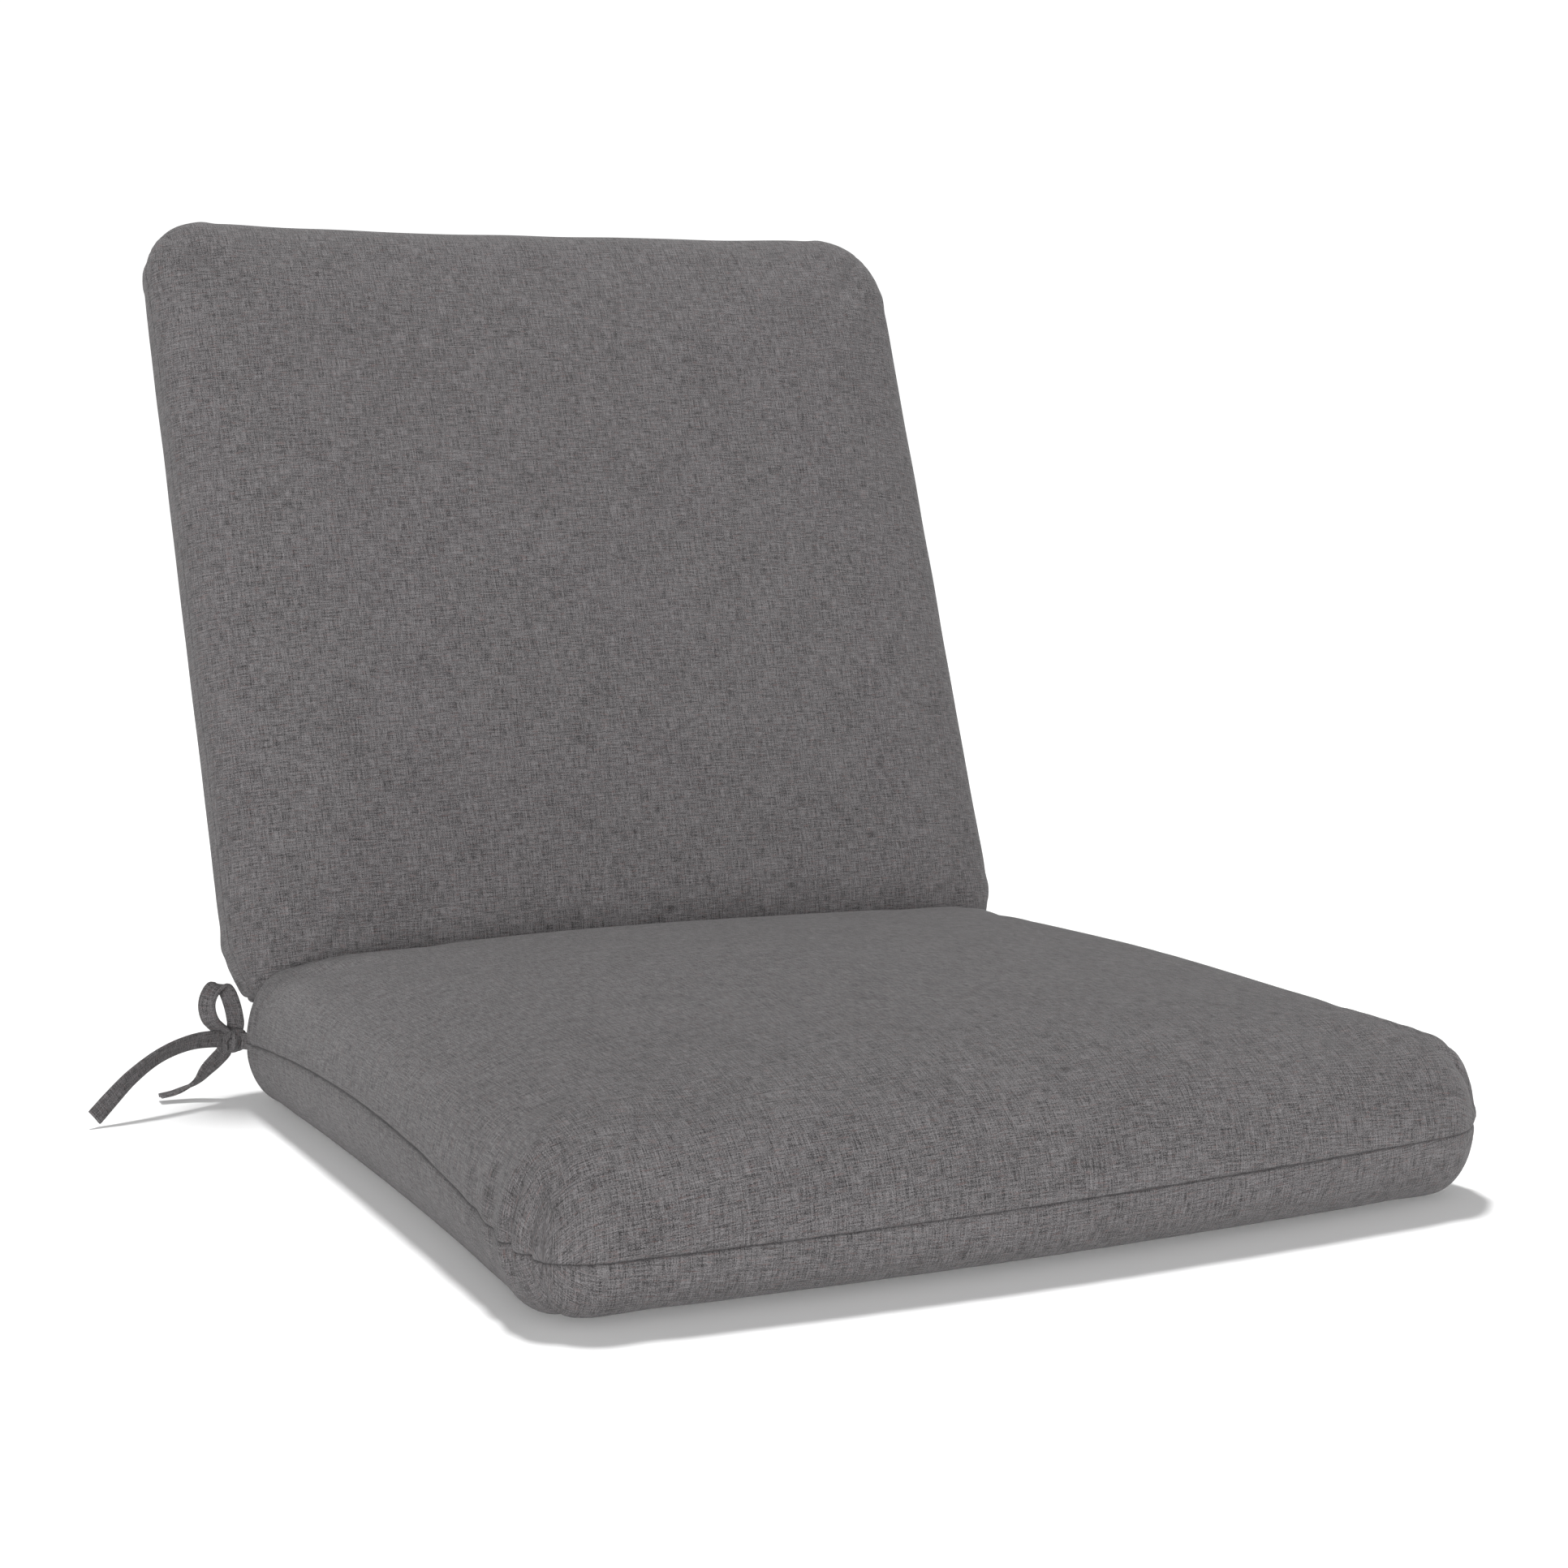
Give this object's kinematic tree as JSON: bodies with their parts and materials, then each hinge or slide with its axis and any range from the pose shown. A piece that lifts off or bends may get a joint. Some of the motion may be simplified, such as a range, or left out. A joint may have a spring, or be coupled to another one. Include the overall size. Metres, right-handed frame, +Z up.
{
  "type": "hinged outdoor chair cushion",
  "caption": "Hinged chair cushion: a crowned seat pad and a back pad in grey woven canvas, joined by a sewn fabric hinge, with tied canvas bows.",
  "frame": {"origin": "centre of the seat pad's flat underside, where it rests", "axes": "+Z up out of the seat pad, -Y towards its front edge, +X to the right seen from the front"},
  "size_m": [0.76, 0.7527, 0.567],
  "materials": {
    "canvas": "heathered grey woven outdoor canvas",
    "hinge_canvas": "the same canvas, sewn into a narrow fold",
    "tie_canvas": "folded and edge-stitched strap of the same canvas",
    "fibre_wrap": "white bonded polyester fibre",
    "foam": "pale cream polyurethane foam"
  },
  "bodies": {
    "seat": {"seat_cover_top": "canvas", "seat_cover_bottom": "canvas", "seat_fibre_wrap_top": "fibre_wrap", "seat_fibre_wrap_bottom": "fibre_wrap", "seat_foam_core": "foam", "hinge_fold": "hinge_canvas", "hinge_strip_seat": "hinge_canvas", "left_tie_root": "tie_canvas", "left_tie_knot": "tie_canvas", "left_tie_loop": "tie_canvas", "left_tie_long_tail": "tie_canvas", "left_tie_short_tail": "tie_canvas", "right_tie_root": "tie_canvas", "right_tie_knot": "tie_canvas", "right_tie_loop": "tie_canvas", "right_tie_long_tail": "tie_canvas", "right_tie_short_tail": "tie_canvas"},
    "back": {"back_cover_front": "canvas", "back_cover_rear": "canvas", "back_fibre_wrap_front": "fibre_wrap", "back_fibre_wrap_rear": "fibre_wrap", "back_foam_core": "foam", "hinge_strip_back": "hinge_canvas"}
  },
  "joints": [
    {"name": "back_fold", "type": "hinge", "parent": "seat", "child": "back", "pos_m": [0, 0.265, 0.092], "axis": [1, 0, 0], "range_deg": [-70, 80]}
  ]
}
